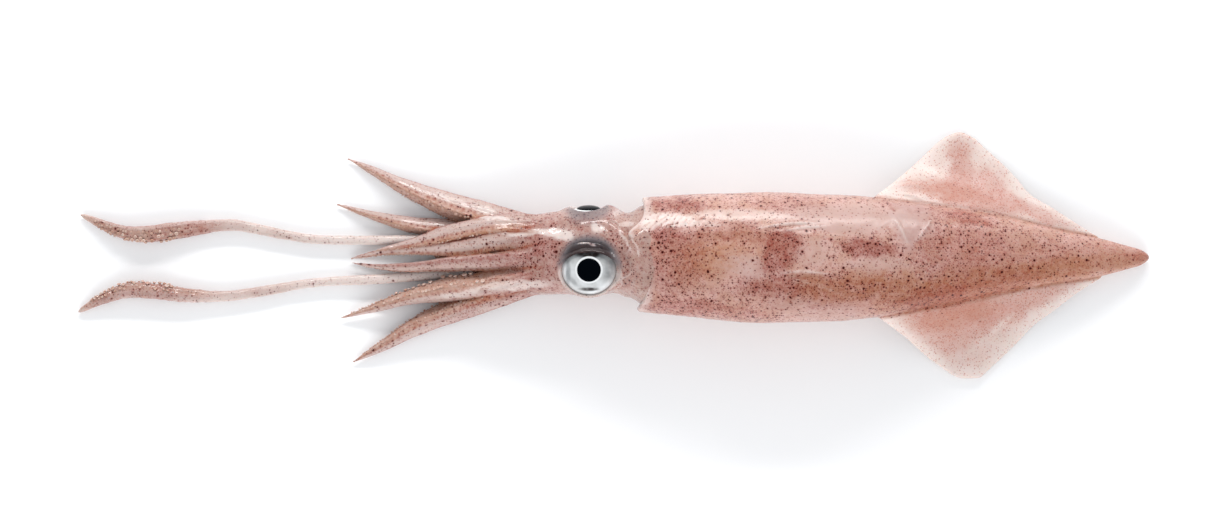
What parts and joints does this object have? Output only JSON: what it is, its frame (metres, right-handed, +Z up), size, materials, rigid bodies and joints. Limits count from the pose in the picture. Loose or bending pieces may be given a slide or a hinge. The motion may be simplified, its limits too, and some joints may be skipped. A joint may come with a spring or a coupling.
{
  "type": "whole raw squid",
  "caption": "Whole raw squid lying belly down, with a long mantle, two rounded side fins, a head with large eyes, spread arms and two long clubbed tentacles.",
  "frame": {"origin": "on the surface that the squid lies on, under the middle of its length and width", "axes": "+X from the tentacle tips to the tail tip, +Y to the squid's right side, +Z up"},
  "size_m": [0.4209, 0.0965, 0.0394],
  "materials": {
    "mantle_skin": "wet translucent pink-beige skin with fine dark red pigment dots and pale torn patches",
    "head_skin": "wet pink-brown skin with fine dark dots, paler on the tentacle stalks and suckers",
    "eye": "glossy silver-white with grey smudges",
    "lens": "glossy black"
  },
  "bodies": {
    "root": {"mantle": "mantle_skin", "head": "head_skin", "eyeball_left": "eye", "lens_left": "lens", "eyeball_right": "eye", "lens_right": "lens"}
  },
  "joints": []
}
